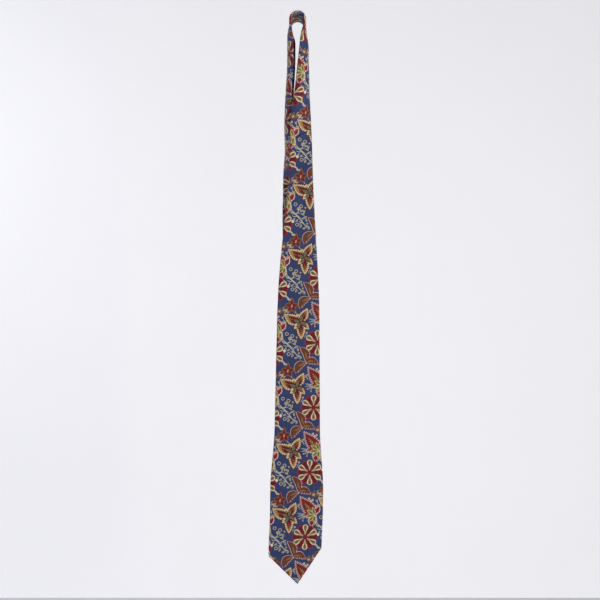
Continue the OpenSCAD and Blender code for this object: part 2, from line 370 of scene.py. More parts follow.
def silk_lay(start, end, start_skew, end_skew):
    # The share of the columns at which the back flaps, the folds and the face begin.
    knots = (0.0, 0.18, 0.32, 0.68, 0.82, 1.0)

    def lay(a, b):
        s = start + (end - start) * b
        half = half_width(s)
        radius = min(HALF_T, 0.8 * half)
        flat_part = half - radius
        gap, lap = flap_gap(s, flat_part)
        turn_in = flat_part + math.pi * radius
        left = turn_in + flat_part - gap + FLAP_UNDER * lap
        right = turn_in + flat_part - gap + FLAP_OVER * lap
        stops = (-left, -turn_in, -flat_part, flat_part, turn_in, right)
        k = min(4, sum(a > x for x in knots[1:5]))
        p = stops[k] + (stops[k + 1] - stops[k]) * span(a, knots[k], knots[k + 1])
        skew = start_skew * ease(1 - b * (end - start) / SKEW_FADE)
        skew += end_skew * ease(1 - (1 - b) * (end - start) / SKEW_FADE)
        reach = max(-NECK_W, min(NECK_W, p))
        s_here = s + skew * reach
        u, t = folded(p, flat_part, radius, lap)
        into_seam = 0.0
        if start_skew:
            into_seam = max(into_seam, 1 - b * (end - start) / SEAM_REACH)
        if end_skew:
            into_seam = max(into_seam, 1 - (1 - b) * (end - start) / SEAM_REACH)
        scale = 1 - SEAM_DIP * into_seam**2
        shift = off_middle(s)
        point = on_tie(s_here, u * (1 - 0.012 * into_seam) + shift, t * scale)
        return point, Vector((p + shift, s_here))

    return lay


front_silk = ribbon(
    "front_silk", 60, 262, silk_lay(BLADE_TIP[1] + 0.4, FRONT_JOIN, 0, JOIN_SLOPE)
)
neck_silk = ribbon(
    "neck_silk", 60, 176, silk_lay(FRONT_JOIN, TAIL_JOIN, JOIN_SLOPE, JOIN_SLOPE)
)
tail_silk = ribbon(
    "tail_silk", 60, 190, silk_lay(TAIL_JOIN, ARCH - TAIL_TIP - 0.4, JOIN_SLOPE, 0)
)


# ---- Printed silk ----
# Screen printed silk twill: a slate blue ground with scattered daisies, lilies,
# serrated leaves and stems, each shape outlined in cream, pink or maroon. The dye
# sinks in, so the colour is even and the sheen is the silk's own.
REPEAT_UP = (5.6, 110.5)  # the two steps at which the print repeats, in millimetres
REPEAT_ACROSS = (78.2, 18.7)
PRINT_HOME = (-64.5, -601.0)  # where the middle of one lily falls on the cloth
CREAM, PINK, PEARL = "#e6dabd", "#d3a7a3", "#a3a8b4"
RED, RUST, MAROON, BARK = "#901f2d", "#8b3529", "#551a24", "#6e4b30"
OLIVE, GOLD, GREEN = "#7c6438", "#b08c44", "#687142"

silk_print, tree = new_material("printed_silk_twill")
determinant = REPEAT_UP[0] * REPEAT_ACROSS[1] - REPEAT_UP[1] * REPEAT_ACROSS[0]
PLACES_AND_DIRECTIONS = ("Place", "Middle", "Cell", "Along", "Across")


def new_group(name, inputs, output_kind, output):
    group = bpy.data.node_groups.new(name, "ShaderNodeTree")
    for label in inputs:
        kind = "Vector" if label in PLACES_AND_DIRECTIONS else "Float"
        group.interface.new_socket(label, in_out="INPUT", socket_type="NodeSocket" + kind)
    group.interface.new_socket(
        output, in_out="OUTPUT", socket_type="NodeSocket" + output_kind
    )
    return group, group.nodes.new("NodeGroupInput").outputs


def close_group(group, result):
    ending = group.nodes.new("NodeGroupOutput")
    group.links.new(result, ending.inputs[0])


TOOTH = 1.9  # half the length of a leaf's tooth, in millimetres
TOOTH_LEAN = 0.7  # how far the teeth lean towards the tip
EDGE_BLUR = 0.16  # how far the dye creeps at an edge, in millimetres


# A leaf or petal: pointed at both ends, with a bend, a taper and a toothed edge.
leaf, given = new_group(
    "leaf_outline",
    (
        "Place",
        "Middle",
        "Along",
        "Across",
        "Reach",
        "Breadth",
        "Bend",
        "Taper",
        "Teeth",
        "Blunt",
        "Notch",
    ),
    "Float",
    "Edge",
)
local = add(
    leaf, "VectorMath", {0: given["Place"], 1: given["Middle"]}, operation="SUBTRACT"
)
lengthways, sideways = [
    add(leaf, "VectorMath", {0: local[0], 1: given[way]}, operation="DOT_PRODUCT")
    for way in ("Along", "Across")
]
along = add(
    leaf, "Math", {0: lengthways["Value"], 1: given["Reach"]}, operation="DIVIDE"
)
square = add(leaf, "Math", {0: along[0], 1: along[0]}, operation="MULTIPLY")
bent = add(
    leaf,
    "Math",
    {0: square[0], 1: given["Bend"], 2: sideways["Value"]},
    operation="MULTIPLY_ADD",
)
aside = add(leaf, "Math", {0: bent[0]}, operation="ABSOLUTE")
swell = add(
    leaf, "Math", {0: along[0], 1: given["Taper"], 2: 1.0}, operation="MULTIPLY_ADD"
)
swell = add(leaf, "Math", {0: swell[0], 1: 0.0}, operation="MAXIMUM")
broad = add(leaf, "Math", {0: swell[0], 1: given["Breadth"]}, operation="MULTIPLY")
outer = add(leaf, "Math", {0: along[0]}, operation="ABSOLUTE")
falling = add(leaf, "Math", {0: outer[0], 1: given["Blunt"]}, operation="POWER")
arc = add(leaf, "Math", {0: 1.0, 1: falling[0]}, operation="SUBTRACT")
half = add(leaf, "Math", {0: broad[0], 1: arc[0]}, operation="MULTIPLY")
open_edge = add(leaf, "Math", {0: aside[0], 1: half[0]}, operation="SUBTRACT")
swept = add(
    leaf,
    "Math",
    {0: aside[0], 1: -TOOTH_LEAN, 2: lengthways["Value"]},
    operation="MULTIPLY_ADD",
)
saw = add(leaf, "Math", {0: swept[0], 1: TOOTH}, operation="PINGPONG")
below_rib = add(leaf, "Math", {0: bent[0], 1: 0.0}, operation="LESS_THAN")
bite = add(
    leaf,
    "Math",
    {0: below_rib[0], 1: given["Notch"], 2: given["Teeth"]},
    operation="MULTIPLY_ADD",
)
close_group(
    leaf,
    add(
        leaf, "Math", {0: saw[0], 1: bite[0], 2: open_edge[0]}, operation="MULTIPLY_ADD"
    )[0],
)

# Turns a place round a flower's middle into one petal's own sector.
rosette, given = new_group("petal_sector", ("Place", "Count", "Turn"), "Vector", "Place")
east, north = [
    add(rosette, "VectorMath", {0: given["Place"], 1: way}, operation="DOT_PRODUCT")
    for way in ((1, 0, 0), (0, 1, 0))
]
radius = add(rosette, "VectorMath", {0: given["Place"]}, operation="LENGTH")["Value"]
angle = add(
    rosette, "Math", {0: north["Value"], 1: east["Value"]}, operation="ARCTAN2"
)
start = add(rosette, "Math", {0: angle[0], 1: given["Turn"]}, operation="SUBTRACT")
upper = add(rosette, "Math", {0: math.pi, 1: given["Count"]}, operation="DIVIDE")
lower = add(rosette, "Math", {0: upper[0], 1: -1.0}, operation="MULTIPLY")
sector = add(
    rosette, "Math", {0: start[0], 1: upper[0], 2: lower[0]}, operation="WRAP"
)
cosine = add(rosette, "Math", {0: sector[0]}, operation="COSINE")
sine = add(rosette, "Math", {0: sector[0]}, operation="SINE")
unit = add(rosette, "CombineXYZ", {0: cosine[0], 1: sine[0]})
close_group(
    rosette,
    add(rosette, "VectorMath", {0: unit[0], "Scale": radius}, operation="SCALE")[0],
)

# Repeats the print: millimetres from the middle of the nearest copy of a motif.
repeat, given = new_group("print_repeat", ("Cell", "Middle"), "Vector", "Place")
apart = add(
    repeat, "VectorMath", {0: given["Cell"], 1: given["Middle"]}, operation="SUBTRACT"
)
near = add(
    repeat, "VectorMath", {0: apart[0], 1: (0.5,) * 3, 2: (-0.5,) * 3}, operation="WRAP"
)
sides = [
    add(
        repeat,
        "VectorMath",
        {0: near[0], 1: (REPEAT_UP[k], REPEAT_ACROSS[k], 0)},
        operation="DOT_PRODUCT",
    )["Value"]
    for k in (0, 1)
]
close_group(repeat, add(repeat, "CombineXYZ", {0: sides[0], 1: sides[1]})[0])

cloth_uv = add(tree, "UVMap", uv_map="cut")[0]
cloth_mm = add(tree, "VectorMath", {0: cloth_uv, "Scale": 1000.0}, operation="SCALE")[0]
from_home = add(
    tree, "VectorMath", {0: cloth_mm, 1: (*PRINT_HOME, 0)}, operation="SUBTRACT"
)[0]
to_cell = (
    (REPEAT_ACROSS[1] / determinant, -REPEAT_ACROSS[0] / determinant, 0),
    (-REPEAT_UP[1] / determinant, REPEAT_UP[0] / determinant, 0),
)
steps = [
    add(tree, "VectorMath", {0: from_home, 1: row}, operation="DOT_PRODUCT")["Value"]
    for row in to_cell
]
print_cell = add(tree, "CombineXYZ", {0: steps[0], 1: steps[1]})[0]


def motif(x, y):
    """Places measured from the middle of a motif that stands x, y from the lily's."""
    middle = [row[0] * x + row[1] * y for row in to_cell] + [0]
    return add(
        tree, "Group", {"Cell": print_cell, "Middle": middle}, node_tree=repeat
    )[0]


def petals(place, count, turn):
    return add(
        tree,
        "Group",
        {"Place": place, "Count": count, "Turn": math.radians(turn)},
        node_tree=rosette,
    )[0]


def leaf_edge(
    place, x, y, turn, reach, breadth, bend=0, taper=0, teeth=0, blunt=2, notch=0
):
    cosine, sine = math.cos(math.radians(turn)), math.sin(math.radians(turn))
    values = {
        "Place": place,
        "Middle": (x, y, 0),
        "Along": (cosine, sine, 0),
        "Across": (-sine, cosine, 0),
        "Reach": reach,
        "Breadth": breadth,
        "Bend": bend,
        "Taper": taper,
        "Teeth": teeth,
        "Blunt": blunt,
        "Notch": notch,
    }
    return add(tree, "Group", values, node_tree=leaf)[0]


def dot_edge(place, x, y, radius):
    away = add(tree, "VectorMath", {0: place, 1: (x, y, 0)}, operation="DISTANCE")
    return add(tree, "Math", {0: away["Value"], 1: radius}, operation="SUBTRACT")[0]


def paint(below, edge, *coats):
    """Prints coats of colour inside an outline, each one so far in from the edge."""
    for depth, colour in coats:
        mask = add(
            tree,
            "MapRange",
            {"Value": edge, "From Min": EDGE_BLUR - depth, "From Max": -EDGE_BLUR - depth},
            interpolation_type="SMOOTHSTEP",
        )[0]
        below = add(
            tree, "Mix", {0: mask, 6: below, 7: linear(colour)}, data_type="RGBA"
        )[2]
    return below


dye_mottle = add(tree, "TexNoise", {"Vector": cloth_mm, "Scale": 0.05, "Detail": 2.0})[0]
colour = add(
    tree,
    "Mix",
    {0: dye_mottle, 6: linear("#2f3c69"), 7: linear("#3f5082")},
    data_type="RGBA",
)[2]

def together(edges):
    """The outline of several shapes that are printed as one."""
    whole = edges[0]
    for edge in edges[1:]:
        whole = add(tree, "Math", {0: whole, 1: edge}, operation="MINIMUM")[0]
    return whole


def sprig(below, place, colours, shapes):
    """A group of small leaves (x, y, turn, reach, breadth) in the same colours."""
    edges = [leaf_edge(place, *shape, 0.8) for shape in shapes]
    return paint(below, together(edges), *zip((0, 0.75, 1.5), colours))


def beads(below, place, radius, colours, middles):
    edges = [dot_edge(place, x, y, radius) for x, y in middles]
    return paint(below, together(edges), *zip((0, 0.9, 1.5), colours))


# Sprigs, beads and buds scattered over the ground.
buds = motif(-43, -2)
petal_row = ((0, 7, 20, 3.2, 1.6), (-3, 8, 110, 3, 1.5), (3, 4, -30, 3, 1.5))
colour = sprig(colour, buds, (CREAM, PINK), petal_row + ((6, 1, -75, 3, 1.5), (9, -1, 10, 3, 1.4)))
colour = sprig(colour, buds, (CREAM, RUST), ((-1, -16, 60, 4.2, 1.9), (3, -19, 5, 3.4, 1.5)))
colour = beads(colour, buds, 3.2, (CREAM, BARK, PINK), ((-6, -42), (6, -20)))

plume = motif(10, -40)
feathers = ((-6, 3, 172, 6.5, 1.1), (-5, 0, 196, 7, 1.1), (-3, -3, 222, 6, 1.1))
colour = sprig(colour, plume, (PEARL,), feathers + ((0, -4, 250, 4.5, 1.0), (-8, 14, 115, 5, 0.9)))
colour = sprig(colour, plume, (CREAM, OLIVE), ((-9, 18, 60, 3.2, 1.5), (-12, 17, 150, 3.2, 1.5)))
colour = beads(colour, plume, 1.3, (PINK,), ((-7, -5), (-1, -9)))

posy = motif(27, -6)
colour = sprig(colour, posy, (GOLD, RUST), ((0, 5, 90, 4, 2), (-4, 3, 150, 4, 2), (3, 1, 20, 4, 2)))
colour = sprig(colour, posy, (OLIVE, RED), ((-1, -2, 250, 4, 2), (10, 8, 60, 4, 1.8)))
colour = beads(colour, posy, 1.8, (CREAM, PINK), ((-0.5, 1.6), (-8, -5), (-5.5, -9), (-2, -7.5)))
colour = sprig(colour, posy, (PEARL,), ((-5, -12, -40, 8, 0.8), (6, -11, -60, 6, 0.7)))
edge = leaf_edge(posy, 8, -17, -150, 6.5, 2.6, -4.0)
colour = paint(colour, edge, (0, CREAM), (0.7, GOLD), (1.6, GREEN))

drift = motif(-4, 52)
colour = sprig(colour, drift, (CREAM, RED), ((-4, 2, 140, 3.6, 1.7), (-7, -2, 200, 3.4, 1.6)))
colour = sprig(colour, drift, (PEARL,), ((0, -2, 100, 6, 0.7), (3, -6, 60, 5, 0.7)))
colour = beads(colour, drift, 1.5, (CREAM, BARK), ((2, 5), (5, -1), (-2, 8)))

corners = motif(-44, -30)
colour = sprig(colour, corners, (PEARL,), ((0, 0, 60, 5, 0.6), (3, 1, 20, 4, 0.6)))
colour = sprig(colour, corners, (CREAM, OLIVE), ((2.5, 5, 70, 2.6, 1.3), (6, 3, 10, 2.6, 1.3)))
colour = beads(colour, corners, 1.4, (CREAM, RUST), ((-2, -4), (1.5, 9)))

# The long stem with its scroll, rings and leaflets.
stem = motif(-26, 24)
twigs = []
for x, y, turn, reach, breadth, bend in (
    (0, 1, -46, 26, 0.75, 2.5),
    (-6, 8, -42, 17, 0.6, -2.0),
    (6, -7, -30, 9, 0.6, 2.0),
    (7, 2, 40, 6, 0.6, 1.5),
    (-2, 12, 62, 7, 0.6, -1.5),
    (-8, 4, 170, 6, 0.6, 1.5),
    (-4, 10, 8, 7, 0.6, 1.5),
    (3, -6, 235, 6, 0.6, 1.0),
):
    twigs.append(leaf_edge(stem, x, y, turn, reach, breadth, bend))
colour = paint(colour, together(twigs), (0, "#cfcabf"))
leaflets = ((4, 14, 20, 3.2, 1.5), (8, 12, 75, 3.2, 1.5), (6, 8, -25, 3.2, 1.5))
leaflets += ((10, 3, 35, 3.2, 1.5), (12, -2, 100, 3.0, 1.4), (0, 17, 130, 3.2, 1.5))
leaflets += ((-9, -1, 240, 3.0, 1.5), (3, -12, 250, 3.2, 1.5), (-4, -3, 215, 3, 1.3))
leaflets += ((-12, 10, 160, 3.0, 1.4), (-15, 18, 120, 3.0, 1.4), (13, -12, -20, 3, 1.4))
leaflets += ((17, -15, -80, 3.0, 1.4), (-3, 17, 95, 3.0, 1.4), (9, -16, 200, 3, 1.4))
colour = sprig(colour, stem, (CREAM, GREEN), leaflets)
scroll = leaf_edge(stem, -17, 0, 95, 9.0, 3.8, -6.0, blunt=3)
colour = paint(colour, scroll, (0, CREAM), (0.8, GOLD), (2.2, OLIVE))
colour = paint(colour, dot_edge(stem, -11.0, -4.4, 2.5), (0, "#f1ece0"))
husk = leaf_edge(stem, -18, 24, -62, 10, 3.8, 2.0)
colour = paint(colour, husk, (0, CREAM), (0.9, GREEN), (2.2, OLIVE))
ring_coats = ("#d9d5c8", "#2b3556", BARK)
colour = beads(colour, stem, 3.0, ring_coats, ((-7, 25), (-3.5, -9.5), (2.4, 21.5)))
colour = beads(colour, stem, 1.7, (GOLD, CREAM), ((10, 19), (-14, 12), (14, -8)))

# The small five-pointed leaf.
star = motif(-30.6, -14.3)
points = petals(star, 5, 90)
colour = paint(colour, leaf_edge(star, 6, -10, -55, 8, 0.9), (0, PEARL))
star_edges = (
    leaf_edge(points, 4.6, 0, 0, 7.6, 4.9, 0, -0.1, 0.5),
    leaf_edge(star, 0.5, 8.5, 88, 6.5, 2.6),
)
colour = paint(
    colour, together(star_edges), (0, "#8a7040"), (1.3, "#8c2a27"), (3.2, "#5f2a22")
)
colour = paint(colour, leaf_edge(star, 0, 0, 80, 3.4, 1.3), (0, PINK))

# The orchid: toothed lobes that grow together, in a cream flame round a dark star.
orchid = motif(-16.3, -41.7)
LOBES = (
    (-14.5, 5.0, 157, 19.0, 11.5, 5.0, -0.35),
    (7.0, 12.0, 58, 16.5, 9.8, -2.5, -0.25),
    (2.0, -15.0, 276, 18.0, 9.4, 2.0, -0.25),
    (9.5, -6.5, -36, 11.0, 7.4, 1.5, -0.3),
    (-3.0, 8.5, 112, 10.0, 6.4, 1.0, -0.2),
    (-6.0, -7.0, 228, 8.5, 6.0, 0.0, -0.2),
)
fringe = together([leaf_edge(orchid, *lobe, 1.05) for lobe in LOBES])
flame_coats = ((0, "#5a1820"), (1.4, "#a07f48"), (2.0, "#efe3c6"), (3.7, "#b08d57"))
colour = paint(colour, fringe, *flame_coats)
rays, veins = [], []
for x, y, turn, reach, breadth, bend, taper in LOBES[:4]:
    inner = (x * 0.72, y * 0.72, turn, reach * 0.72, breadth * 0.6, bend, taper, 1.3)
    rays.append(leaf_edge(orchid, *inner))
    veins.append(leaf_edge(orchid, x * 1.05, y * 1.05, turn, reach * 0.36, 0.9, bend / 2))
colour = paint(colour, together(rays), (0, "#6a1822"), (1.6, "#86282a"), (2.6, "#4c161e"))
colour = paint(colour, together(veins), (0, "#a8563a"))
hearts = leaf_edge(petals(orchid, 4, 70), 6.2, 0, 0, 6.0, 3.0)
colour = paint(colour, hearts, (0, MAROON), (0.8, "#8c8c70"), (1.7, "#636a4a"))

# The big serrated leaf that springs from a green and gold calyx.
frond = motif(14, -26)
BLADES = (
    (1.5, 2.7, 130, 23.5, 12.0, 1.5, -0.45, 1.8),
    (11, -22, -106, 12, 8.6, -2.0, 0.0, 1.6),
    (13, -6, 100, 12, 6.2, 1.5, 0.0, 0.9),
    (19.5, -5, 62, 10, 5.0, -2.0, 0.0, 0.7),
    (3.5, -12, 190, 12, 7.6, 0.0, -0.2, 1.6),
)
blade_edge = together([leaf_edge(frond, *blade) for blade in BLADES])
colour = paint(colour, blade_edge, (0, "#f3e4da"), (1.4, "#a11c2c"), (3.6, "#86202b"))
streaks = []
for x, y, turn, reach, breadth, bend, taper in (blade[:7] for blade in BLADES):
    inner = (x * 0.86, y * 0.86, turn, reach * 0.7, breadth * 0.42, bend, taper, 1.6)
    streaks.append(leaf_edge(frond, *inner))
streak_coats = ((0, "#5e2023"), (1.2, "#8d5a38"), (2.6, "#b08e5a"))
colour = paint(colour, together(streaks), *streak_coats)
calyx = []
for turn, reach in ((148, 8.5), (186, 8.5), (224, 8.0), (108, 7.5), (262, 6.5)):
    out = math.radians(turn)
    x = 15.2 + reach * math.cos(out)
    y = -13.4 + reach * math.sin(out)
    calyx.append(leaf_edge(frond, x, y, turn, reach, 3.0))
for edge in calyx:
    colour = paint(colour, edge, (0, "#e2d5a8"), (0.9, "#a58f4c"), (1.8, GREEN))

# The lily: three crescent petals in rust and olive, smooth along the outer rim and
# notched along the inner one, with a pale line all round.
lily = motif(0, 0)
lily_petals = [
    leaf_edge(lily, 0.4, 16, 113, 15.0, 6.6, -6.0, blunt=2.6, notch=0.9),
    leaf_edge(lily, -11.6, -5.6, 47, 14.0, 7.4, 5.5, blunt=2.6, notch=1.4),
    leaf_edge(lily, 10.5, 3.0, -6, 12.0, 6.8, 5.5, blunt=2.6, notch=1.4),
]
lily_coats = ((0, "#e6c9c2"), (0.9, "#701a26"), (2.3, "#8c3a2e"), (3.6, "#664a2a"))
colour = paint(colour, together(lily_petals), *lily_coats)
lily_veins = [
    leaf_edge(lily, x, y, turn, 7.5, 1.3, 1.5)
    for x, y, turn in ((0.4, 11, 108), (-7, -3, 214), (7, 2.5, 4))
]
colour = paint(colour, together(lily_veins), (0, "#96744a"))

# The daisy: red petals, and over them cream ones with tan hearts.
daisy = motif(19.4, 33.8)
reds = leaf_edge(petals(daisy, 6, 0), 12.0, 0, 0, 10.0, 6.2, 0, 0.45, blunt=3)
colour = paint(colour, reds, (0, "#b01e36"), (2.2, RED), (4.0, "#6a2026"))
creams = leaf_edge(petals(daisy, 6, 30), 12.4, 0, 0, 9.4, 3.5, 0, 0.8, blunt=4)
colour = paint(colour, creams, (0, "#f0e8d4"), (1.7, "#b39a62"), (2.7, OLIVE))
spokes = leaf_edge(petals(daisy, 12, 15), 7.0, 0, 0, 6.0, 1.1)
colour = paint(colour, spokes, (0, "#7a2428"), (0.7, "#a3713f"))
colour = paint(colour, dot_edge(daisy, 0, 0, 3.0), (0, MAROON), (1.2, "#8a3030"))

# Twill: fine diagonal ribs, drawn at twice their real pitch so that they show.
RIB_PITCH = 0.9  # millimetres
ribs = add(
    tree,
    "TexWave",
    {"Vector": cloth_mm, "Scale": 1 / (RIB_PITCH * 20 / (2 * math.pi) / math.sqrt(2))},
    wave_type="BANDS",
    bands_direction="DIAGONAL",
)
yarn = add(
    tree, "TexNoise", {"Vector": cloth_mm, "Scale": 1.6, "Detail": 3.0, "Roughness": 0.6}
)
yarn_shade = add(
    tree, "MapRange", {"Value": yarn[0], "To Min": 0.82, "To Max": 1.16}
)
rib_shade = add(tree, "MapRange", {"Value": ribs["Fac"], "To Min": 0.88, "To Max": 1.08})
woven = add(tree, "Math", {0: yarn_shade[0], 1: rib_shade[0]}, operation="MULTIPLY")
dyed = add(tree, "VectorMath", {0: colour, "Scale": woven[0]}, operation="SCALE")
relief = add(tree, "Math", {0: ribs["Fac"], 1: yarn[0]}, operation="ADD")
bump = add(
    tree, "Bump", {"Height": relief[0], "Strength": 0.4, "Distance": 0.1 * MM}
)
gloss = add(tree, "MapRange", {"Value": yarn[0], "To Min": 0.52, "To Max": 0.7})
finish_surface(
    tree,
    {
        "Base Color": dyed[0],
        "Roughness": gloss[0],
        "Normal": bump[0],
        "Specular IOR Level": 0.25,
        "Sheen Weight": 0.05,
        "Sheen Roughness": 0.4,
        "Sheen Tint": linear("#c9cede"),
    },
)

for panel, node in (
    (front_silk, "front_blade_shell"),
    (neck_silk, "neck_shell"),
    (tail_silk, "tail_blade_shell"),
):
    panel.data.materials.append(silk_print)
    thicken(panel, SILK_T, -1)
    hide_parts(node)
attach(neck_silk, "neck")
bend_at_front_join(front_silk)
bend_at_tail_join(tail_silk)


# ---- Wool interlining ----
# Soft brushed wool cut on the bias, which gives the tie its body. It lies loose in
# the silk, against the face, and ends a little inside the folds.
WOOL_T, WOOL_MIDDLE = 1.4, 0.4
WOOL_INSET = 2.3

wool, tree = new_material("brushed_wool")
place = add(tree, "TexCoord")["Object"]
nap = add(
    tree, "TexNoise", {"Vector": place, "Scale": 900.0, "Detail": 5.0, "Roughness": 0.7}
)
tone = add(
    tree,
    "Mix",
    {0: nap[0], 6: linear("#b9ae94"), 7: linear("#ece5d4")},
    data_type="RGBA",
)
fuzz = add(tree, "Bump", {"Height": nap[0], "Strength": 0.6, "Distance": 0.3 * MM})
finish_surface(
    tree,
    {
        "Base Color": tone[2],
        "Roughness": 0.95,
        "Normal": fuzz[0],
        "Sheen Weight": 0.4,
        "Sheen Roughness": 0.6,
    },
)


def layer_lay(start, end, inset, t):
    """A flat inner layer between two places along the tie, inset from its edges."""

    def lay(a, b):
        s = start + (end - start) * b
        u = (2 * a - 1) * max(0.5, half_width(s) - inset) + off_middle(s)
        return on_tie(s, u, t), Vector((u, s))

    return lay


def declare(obj, material, slot_name, *nodes):
    obj.data.materials.append(material)
    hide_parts(*nodes)


front_wool = ribbon(
    "front_wool", 14, 150, layer_lay(-956, FRONT_JOIN, WOOL_INSET, WOOL_MIDDLE)
)
neck_wool = ribbon(
    "neck_wool", 14, 80, layer_lay(FRONT_JOIN + 1, TAIL_JOIN - 1, WOOL_INSET, WOOL_MIDDLE)
)
tail_wool = ribbon(
    "tail_wool", 14, 100, layer_lay(TAIL_JOIN, ARCH + 484, WOOL_INSET, WOOL_MIDDLE)
)
for layer in (front_wool, neck_wool, tail_wool):
    thicken(layer, WOOL_T, 0)
declare(front_wool, wool, "wool_interlining", "front_interlining")
declare(neck_wool, wool, "wool_interlining", "neck_interlining")
declare(tail_wool, wool, "wool_interlining", "tail_interlining")
bend_at_front_join(front_wool)
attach(neck_wool, "neck")
bend_at_tail_join(tail_wool)


# ---- Join allowances ----
# The cut edges of the two diagonal seams, pressed open inside the neck band.
def allowance_lay(join):
    def lay(a, b):
        u = (2 * a - 1) * (NECK_W / 2 - 3)
        s = join + JOIN_SLOPE * u + 12 * (b - 0.5)
        return on_tie(s, u, -0.9), Vector((u, s))

    return lay


for name, join in (("front_join", FRONT_JOIN), ("tail_join", TAIL_JOIN)):
    strip = ribbon(name + "_allowance", 24, 6, allowance_lay(join))
    thicken(strip, 0.4, 0)
    declare(strip, silk_print, "printed_silk", name + "_seam")
    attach(strip, "neck")


# ---- Tipping ----
# Plain dark blue lining silk behind each point, slipped under the turned edges.
TIPPING_AT = -0.75

tipping_silk, tree = new_material("satin_lining_silk")
place = add(tree, "TexCoord")["Object"]
floats = add(
    tree,
    "TexWave",
    {"Vector": place, "Scale": 260.0, "Distortion": 0.6, "Detail": 1.0},
    bands_direction="Z",
)
tone = add(
    tree,
    "Mix",
    {0: floats["Fac"], 6: linear("#1d2450"), 7: linear("#2b346a")},
    data_type="RGBA",
)
weave = add(tree, "Bump", {"Height": floats["Fac"], "Strength": 0.2, "Distance": 0.05 * MM})
finish_surface(
    tree,
    {
        "Base Color": tone[2],
        "Roughness": 0.36,
        "Normal": weave[0],
        "Sheen Weight": 0.2,
        "Anisotropic": 0.4,
    },
)

front_lining = ribbon("front_point_lining", 40, 84, layer_lay(-957, -795, 2.2, TIPPING_AT))
tail_lining = ribbon(
    "tail_point_lining", 24, 50, layer_lay(ARCH + 385, ARCH + 485.5, 2.2, TIPPING_AT)
)
for layer, node, body in (
    (front_lining, "front_tipping", "front_blade"),
    (tail_lining, "tail_tipping", "tail_blade"),
):
    thicken(layer, 0.15, 0)
    declare(layer, tipping_silk, "tipping_silk", node)
    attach(layer, body)


# ---- Stitching ----
# Matching silk thread: one slack slip stitch up the back, a bar tack where the flaps
# part, and small hem stitches that hold the tipping to the turned edges.
THREAD = 0.5  # thickness, in millimetres
STITCH_PITCH = 12.0
BACK = -HALF_T

thread, tree = new_material("twisted_silk_thread")
place = add(tree, "TexCoord")["Object"]
ply = add(tree, "TexWave", {"Vector": place, "Scale": 900.0}, bands_direction="DIAGONAL")
tone = add(
    tree,
    "Mix",
    {0: ply["Fac"], 6: linear("#26305e"), 7: linear("#4a5791")},
    data_type="RGBA",
)
twist = add(tree, "Bump", {"Height": ply["Fac"], "Strength": 0.5, "Distance": 0.08 * MM})
finish_surface(
    tree,
    {"Base Color": tone[2], "Roughness": 0.5, "Normal": twist[0], "Sheen Weight": 0.2},
)


def stitches(name, places, node, lengthwise=True, material=thread):
    """Short threads. Each place is (along, across, out, length, lean in degrees)."""
    bm = bmesh.new()
    for s, u, t, length, lean in places:
        _, across, outward = place_at(s)
        up = outward.cross(across)
        run, side = (up, across) if lengthwise else (across, up)
        turned = run * math.cos(math.radians(lean)) + side * math.sin(math.radians(lean))
        axes = Matrix((outward.cross(turned), outward, turned)).transposed().to_4x4()
        form = Matrix.Diagonal((THREAD / 2, THREAD / 2, length / 2, 1 / MM)) * MM
        bmesh.ops.create_uvsphere(
            bm,
            u_segments=8,
            v_segments=6,
            radius=1.0,
            matrix=Matrix.Translation(on_tie(s, u, t)) @ axes @ form,
        )
    for face in bm.faces:
        face.smooth = True
    mesh = bpy.data.meshes.new(name)
    bm.to_mesh(mesh)
    bm.free()
    obj = bpy.data.objects.new(name, mesh)
    bpy.context.scene.collection.objects.link(obj)
    declare(obj, material, "thread", node)
    return obj


def slip_stitches(start, end, bare=()):
    """Places of the slip stitches, which lean as they catch both flaps."""
    count = int((end - start) / STITCH_PITCH)
    for k in range(count + 1):
        s = start + STITCH_PITCH * k
        if not any(low < s < high for low, high in bare):
            yield s, -FLAP_OVER, BACK - 0.15, 3.2, 28


under_labels = ((-716, -684), (-618, -602))
front_thread = stitches(
    "front_slip_stitches",
    list(slip_stitches(FRONT_BAR + 8, FRONT_JOIN - 6, under_labels)),
    "front_slip_stitch",
)
bend_at_front_join(front_thread)
neck_thread = stitches(
    "neck_slip_stitches",
    list(slip_stitches(FRONT_JOIN + 8, TAIL_JOIN - 6)),
    "neck_slip_stitch",
)
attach(neck_thread, "neck")
tail_thread = stitches(
    "tail_slip_stitches",
    list(slip_stitches(TAIL_JOIN + 8, TAIL_BAR - 8)),
    "tail_slip_stitch",
)
bend_at_tail_join(tail_thread)


def bar_tack(s):
    """A dozen close threads over the place where the flaps part."""
    for k in range(11):
        yield s + 0.42 * (k - 5), 0.0, BACK - 0.5, 11.0, 2.5 * (-1) ** k
    for k in range(4):
        yield s, 3.0 * (k - 1.5), BACK - 0.75, 0.9, 90


def hem_stitches(bar, tip, pitch):
    """Stitches along both flap edges, from the bar tack to the corners and the tip."""
    low, high = sorted((bar, tip))
    count = int((high - low) / pitch)
    for k in range(1, count):
        s = low + (high - low) * k / count
        half = half_width(s)
        flat_part = half - min(HALF_T, 0.8 * half)
        gap, lap = flap_gap(s, flat_part)
        if gap > 4:
            for side in (-1, 1):
                yield s, side * (gap - 0.4) + off_middle(s), BACK + 0.25, 2.4, side * 62


for prefix, bar, tip, body in (
    ("front", FRONT_BAR, -952.0, "front_blade"),
    ("tail", TAIL_BAR, ARCH + 481.0, "tail_blade"),
):
    tack = stitches(
        prefix + "_bar_threads",
        list(bar_tack(bar)),
        prefix + "_bar_tack",
        lengthwise=False,
    )
    hem = stitches(
        prefix + "_hem_stitches",
        list(hem_stitches(bar, tip, 6.0)),
        prefix + "_tipping_stitches",
    )
    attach(tack, body)
    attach(hem, body)


